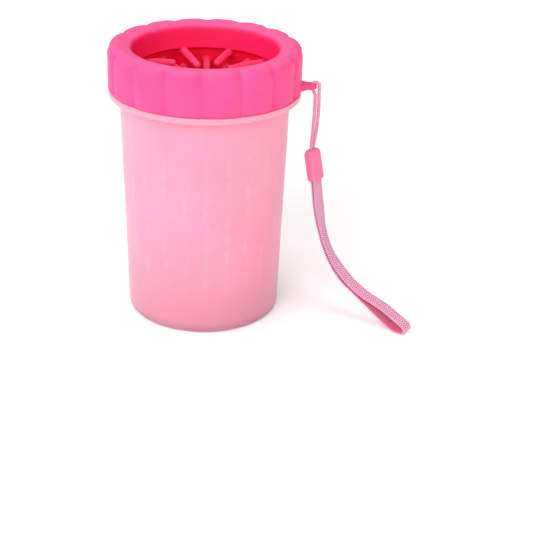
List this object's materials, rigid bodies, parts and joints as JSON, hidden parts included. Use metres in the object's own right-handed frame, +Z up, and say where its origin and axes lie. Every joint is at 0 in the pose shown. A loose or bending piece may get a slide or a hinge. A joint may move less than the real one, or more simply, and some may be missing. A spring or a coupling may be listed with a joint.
{
  "type": "paw washer cup",
  "caption": "Paw washer cup: tapered beaker with a scalloped screw ring, a silicone sleeve of radial bristles hung inside it, and a webbing wrist strap looped through the ring's eye tab",
  "frame": {"origin": "centre of the cup's flat base, on the surface that it stands on", "axes": "+Z up along the cup's axis, +X towards the eye tab and the strap, +Y away from the side that the strap's loop lies on"},
  "size_m": [0.166, 0.1024, 0.1509],
  "materials": {
    "cup_plastic": "translucent satin, faintly grained",
    "sleeve_silicone": "soft matt silicone, moulded in one with the bristles",
    "bristle_silicone": "soft satin silicone",
    "ring_silicone": "satin soft-touch silicone skin",
    "cord_fibre": "braided polyester",
    "clip_plastic": "satin moulding",
    "band_fibre": "cross-ribbed polyester webbing"
  },
  "bodies": {
    "cup": {"cup_body": "cup_plastic"},
    "brush": {"brush_sleeve": "sleeve_silicone", "bristle_column_01": "bristle_silicone", "bristle_column_02": "bristle_silicone", "bristle_column_03": "bristle_silicone", "bristle_column_04": "bristle_silicone", "bristle_column_05": "bristle_silicone", "bristle_column_06": "bristle_silicone", "bristle_column_07": "bristle_silicone", "bristle_column_08": "bristle_silicone", "bristle_column_09": "bristle_silicone", "bristle_column_10": "bristle_silicone", "bristle_column_11": "bristle_silicone", "bristle_column_12": "bristle_silicone", "bristle_column_13": "bristle_silicone", "bristle_column_14": "bristle_silicone", "bristle_column_15": "bristle_silicone", "bristle_column_16": "bristle_silicone", "bristle_column_17": "bristle_silicone", "bristle_column_18": "bristle_silicone", "bristle_column_19": "bristle_silicone", "bristle_column_20": "bristle_silicone"},
    "ring": {"screw_ring": "ring_silicone"},
    "strap": {"strap_cord": "cord_fibre", "strap_clip": "clip_plastic", "strap_webbing": "band_fibre"}
  },
  "joints": [
    {"name": "sleeve_rise", "type": "slide", "parent": "cup", "child": "brush", "axis": [0, 0, 1], "range_m": [0, 0.00626]},
    {"name": "ring_turn", "type": "hinge", "parent": "brush", "child": "ring", "pos_m": [0, 0, 0.1271], "axis": [0, 0, 1], "range_deg": [0, 450]},
    {"name": "strap_swing", "type": "hinge", "parent": "ring", "child": "strap", "pos_m": [0.05885, 0, 0.1283], "axis": [0, -1, 0], "range_deg": [0, 150]}
  ],
  "couplings": [
    {"joint": "sleeve_rise", "follows": "ring_turn", "m_per_rad": 0.00079577}
  ]
}
